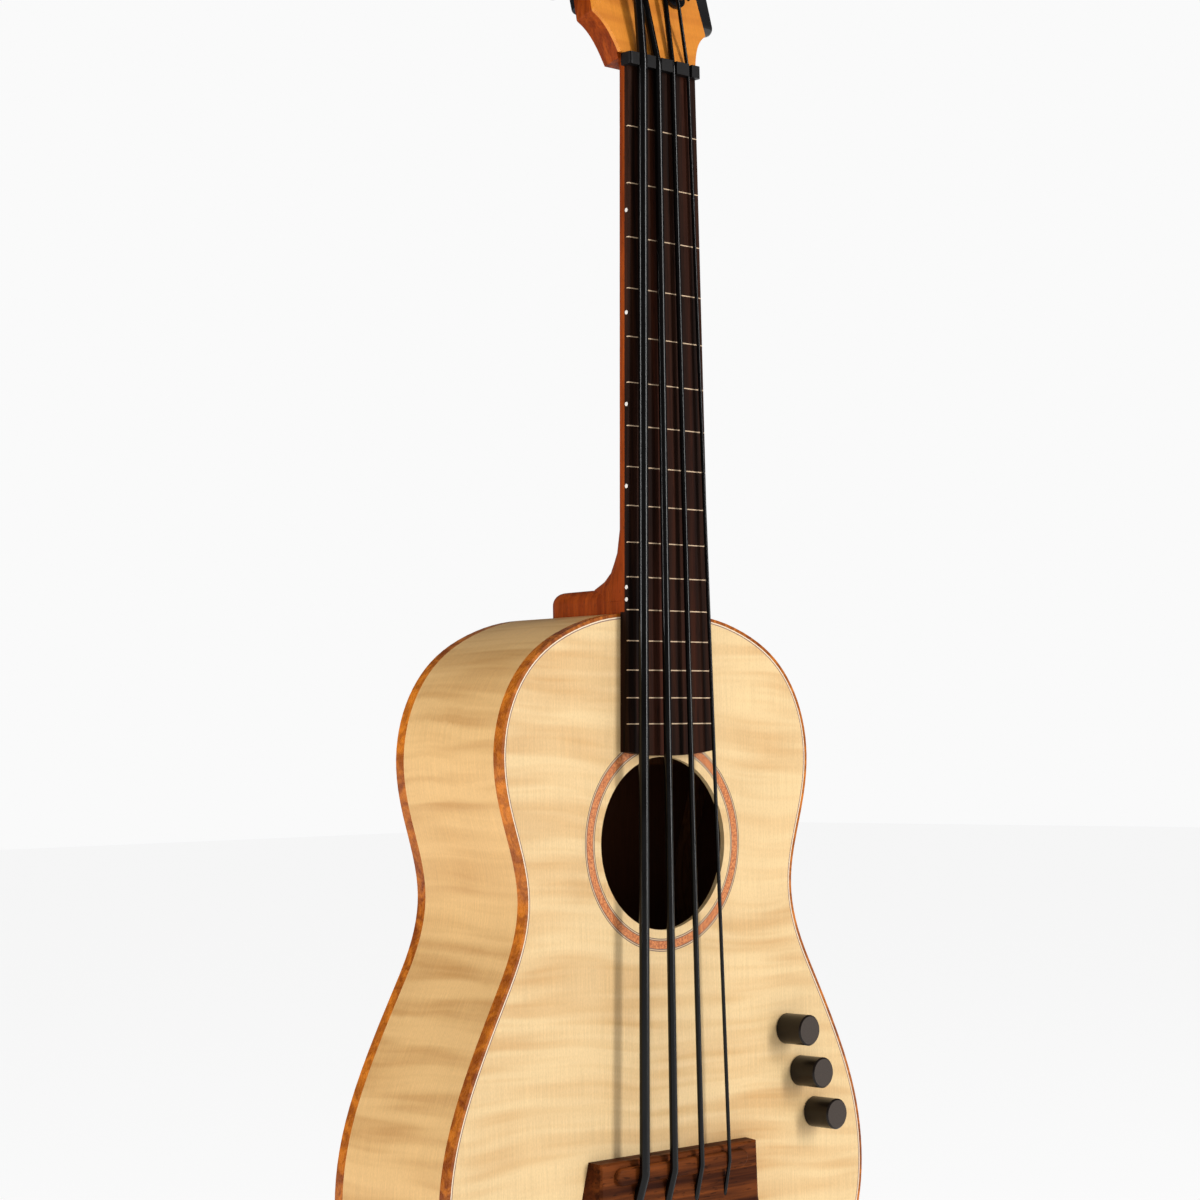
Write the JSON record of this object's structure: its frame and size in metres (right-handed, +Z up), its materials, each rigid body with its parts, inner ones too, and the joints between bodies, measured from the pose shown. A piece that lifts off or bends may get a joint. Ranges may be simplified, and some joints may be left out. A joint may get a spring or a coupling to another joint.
{
  "type": "bass ukulele",
  "caption": "Acoustic-electric fretless bass ukulele with flamed maple body, inlaid position lines, geared tuners and three control knobs.",
  "frame": {"origin": "on the fretboard's face at the nut's playing edge and on the body's centre line, where the scale starts and just below which a wall hanger's yoke holds the headstock's shoulders", "axes": "+Z up the neck to the headstock, soundboard facing -Y, +X to the treble side"},
  "size_m": [0.2738, 0.0984, 0.7529],
  "materials": {
    "maple_top": "satin lacquered flamed maple",
    "maple_side": "satin lacquered flamed maple",
    "maple_back": "satin lacquered flamed maple",
    "binding_wood": "satin lacquered mahogany",
    "purfling": "satin",
    "rosette_wood": "satin lacquered inlay",
    "mahogany": "satin",
    "maple_veneer": "satin",
    "rosewood_board": "oiled",
    "line_inlay": "oiled",
    "dot_inlay": "gloss",
    "nut_graphite": "satin",
    "rosewood_bridge": "oiled",
    "string_rubber": "gloss",
    "inner_wood": "raw",
    "steel": "brushed",
    "shaft_metal": "turned",
    "black_metal": "satin black plating",
    "button_black": "gloss",
    "knob_black": "satin",
    "pot_metal": "stamped",
    "pickup_metal": "bare",
    "circuit_board": "solder mask",
    "battery_case": "satin",
    "jack_metal": "polished",
    "anchor_plastic": "satin"
  },
  "bodies": {
    "root": {"back_binding": "binding_wood", "back_braces": "inner_wood", "back_linings": "inner_wood", "back_plate": "maple_back", "battery": "battery_case", "bridge": "rosewood_bridge", "bridge_plate": "inner_wood", "control_pots": "pot_metal", "fret_lines": "line_inlay", "fretboard": "rosewood_board", "headstock_veneer": "maple_veneer", "neck": "mahogany", "neck_block": "inner_wood", "nut": "nut_graphite", "output_jack": "jack_metal", "piezo_pickup": "pickup_metal", "preamp_board": "circuit_board", "rib_bass_lower": "maple_side", "rib_bass_upper": "maple_side", "rib_bass_waist": "maple_side", "rib_treble_lower": "maple_side", "rib_treble_upper": "maple_side", "rib_treble_waist": "maple_side", "rosette": "rosette_wood", "saddle": "rosewood_bridge", "side_dots": "dot_inlay", "soundboard": "maple_top", "string_a": "string_rubber", "string_anchors": "anchor_plastic", "string_d": "string_rubber", "string_e": "string_rubber", "string_g": "string_rubber", "tail_block": "inner_wood", "top_binding": "binding_wood", "top_braces": "inner_wood", "top_linings": "inner_wood", "top_purfling": "purfling", "truss_rod": "steel", "tuner_bushings": "black_metal", "tuner_housings": "black_metal", "tuner_screws": "black_metal"},
    "knob_upper": {"knob_upper": "knob_black", "pot_shaft_upper": "shaft_metal"},
    "knob_middle": {"knob_middle": "knob_black", "pot_shaft_middle": "shaft_metal"},
    "knob_lower": {"knob_lower": "knob_black", "pot_shaft_lower": "shaft_metal"},
    "tuner_button_e": {"button_e": "button_black", "worm_shaft_e": "shaft_metal"},
    "tuner_post_e": {"post_e": "black_metal"},
    "tuner_button_a": {"button_a": "button_black", "worm_shaft_a": "shaft_metal"},
    "tuner_post_a": {"post_a": "black_metal"},
    "tuner_button_d": {"button_d": "button_black", "worm_shaft_d": "shaft_metal"},
    "tuner_post_d": {"post_d": "black_metal"},
    "tuner_button_g": {"button_g": "button_black", "worm_shaft_g": "shaft_metal"},
    "tuner_post_g": {"post_g": "black_metal"}
  },
  "joints": [
    {"name": "knob_upper_turn", "type": "hinge", "parent": "root", "child": "knob_upper", "pos_m": [0.0825, 0.006, -0.4652], "axis": [0, -1, 0], "range_deg": [-150, 150]},
    {"name": "knob_middle_turn", "type": "hinge", "parent": "root", "child": "knob_middle", "pos_m": [0.0918, 0.006, -0.4867], "axis": [0, -1, 0], "range_deg": [-150, 150]},
    {"name": "knob_lower_turn", "type": "hinge", "parent": "root", "child": "knob_lower", "pos_m": [0.1013, 0.006, -0.5078], "axis": [0, -1, 0], "range_deg": [-150, 150]},
    {"name": "button_e_turn", "type": "hinge", "parent": "root", "child": "tuner_button_e", "pos_m": [-0.0193, 0.02812, 0.04632], "axis": [-1, 0, 0], "continuous": true},
    {"name": "post_e_turn", "type": "hinge", "parent": "root", "child": "tuner_post_e", "pos_m": [-0.0193, 0.02199, 0.03929], "axis": [0, -0.9703, 0.2419], "continuous": true},
    {"name": "button_a_turn", "type": "hinge", "parent": "root", "child": "tuner_button_a", "pos_m": [-0.017, 0.04034, 0.09531], "axis": [-1, 0, 0], "continuous": true},
    {"name": "post_a_turn", "type": "hinge", "parent": "root", "child": "tuner_post_a", "pos_m": [-0.017, 0.03421, 0.08829], "axis": [0, -0.9703, 0.2419], "continuous": true},
    {"name": "button_d_turn", "type": "hinge", "parent": "root", "child": "tuner_button_d", "pos_m": [0.017, 0.04034, 0.09531], "axis": [1, 0, 0], "continuous": true},
    {"name": "post_d_turn", "type": "hinge", "parent": "root", "child": "tuner_post_d", "pos_m": [0.017, 0.03421, 0.08829], "axis": [0, -0.9703, 0.2419], "continuous": true},
    {"name": "button_g_turn", "type": "hinge", "parent": "root", "child": "tuner_button_g", "pos_m": [0.0193, 0.02812, 0.04632], "axis": [1, 0, 0], "continuous": true},
    {"name": "post_g_turn", "type": "hinge", "parent": "root", "child": "tuner_post_g", "pos_m": [0.0193, 0.02199, 0.03929], "axis": [0, -0.9703, 0.2419], "continuous": true}
  ],
  "couplings": [
    {"joint": "post_e_turn", "follows": "button_e_turn", "ratio": 0.071429},
    {"joint": "post_a_turn", "follows": "button_a_turn", "ratio": 0.071429},
    {"joint": "post_d_turn", "follows": "button_d_turn", "ratio": -0.071429},
    {"joint": "post_g_turn", "follows": "button_g_turn", "ratio": -0.071429}
  ]
}
